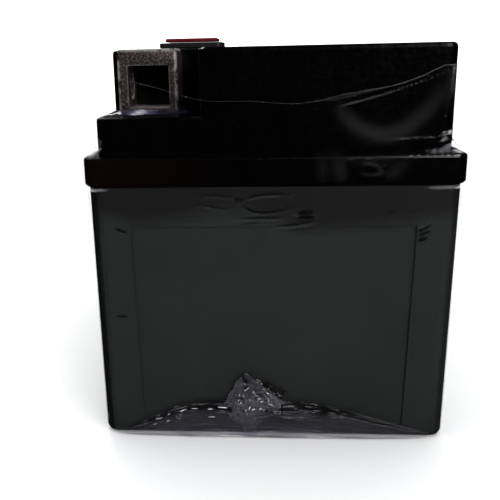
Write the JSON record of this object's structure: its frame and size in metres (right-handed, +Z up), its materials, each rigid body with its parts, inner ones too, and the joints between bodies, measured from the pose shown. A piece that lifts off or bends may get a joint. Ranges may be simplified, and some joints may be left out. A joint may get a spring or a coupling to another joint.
{
  "type": "motorcycle battery",
  "caption": "Sealed box-shaped motorcycle battery with a stepped lid, square corner terminals, a lift-off terminal cap and clear shrink film.",
  "frame": {"origin": "middle of the base, at the bottom of the box round the whole object", "axes": "+X along the length towards the negative terminal, +Y to the back so both terminals are at the front on -Y, +Z up"},
  "size_m": [0.1504, 0.0874, 0.0984],
  "materials": {
    "case_plastic": "satin, moulded",
    "lid_plastic": "gloss, moulded",
    "strip_plastic": "gloss, moulded",
    "ring_rubber": "soft rubber",
    "valve_rubber": "soft rubber",
    "seal_rubber": "soft rubber",
    "terminal_lead": null,
    "post_lead": null,
    "positive_paste": null,
    "negative_paste": null,
    "glass_mat": "fine glass fibre felt",
    "cap_red": "satin red",
    "cap_dark": "satin black",
    "film_clear": "clear shrink film"
  },
  "bodies": {
    "battery": {"case": "case_plastic", "lid": "lid_plastic", "negative_terminal": "terminal_lead", "positive_terminal": "terminal_lead", "negative_post": "post_lead", "positive_post": "post_lead", "negative_post_seal": "seal_rubber", "positive_post_seal": "seal_rubber", "cell_1_negative_plates": "negative_paste", "cell_1_positive_plates": "positive_paste", "cell_1_glass_mat": "glass_mat", "cell_2_negative_plates": "negative_paste", "cell_2_positive_plates": "positive_paste", "cell_2_glass_mat": "glass_mat", "cell_3_negative_plates": "negative_paste", "cell_3_positive_plates": "positive_paste", "cell_3_glass_mat": "glass_mat", "cell_4_negative_plates": "negative_paste", "cell_4_positive_plates": "positive_paste", "cell_4_glass_mat": "glass_mat", "cell_5_negative_plates": "negative_paste", "cell_5_positive_plates": "positive_paste", "cell_5_glass_mat": "glass_mat", "cell_6_negative_plates": "negative_paste", "cell_6_positive_plates": "positive_paste", "cell_6_glass_mat": "glass_mat", "cell_weld_1_2": "post_lead", "cell_weld_2_3": "post_lead", "cell_weld_3_4": "post_lead", "cell_weld_4_5": "post_lead", "cell_weld_5_6": "post_lead", "shrink_film": "film_clear", "film_tab": "film_clear"},
    "cap_strip_body": {"cap_strip": "strip_plastic", "seal_ring_1": "ring_rubber", "seal_ring_2": "ring_rubber", "seal_ring_3": "ring_rubber", "seal_ring_4": "ring_rubber", "seal_ring_5": "ring_rubber", "seal_ring_6": "ring_rubber", "valve_cup_1": "valve_rubber", "valve_cup_2": "valve_rubber", "valve_cup_3": "valve_rubber", "valve_cup_4": "valve_rubber", "valve_cup_5": "valve_rubber", "valve_cup_6": "valve_rubber"},
    "positive_cap_body": {"cap_base_plate": "cap_dark", "positive_cap": "cap_red"}
  },
  "joints": [
    {"name": "positive_cap_lift", "type": "slide", "parent": "battery", "child": "positive_cap_body", "axis": [0, 0, 1], "range_m": [0, 0.03]},
    {"name": "cap_strip_lift", "type": "slide", "parent": "battery", "child": "cap_strip_body", "axis": [0, 0, 1], "range_m": [0, 0.03]}
  ]
}
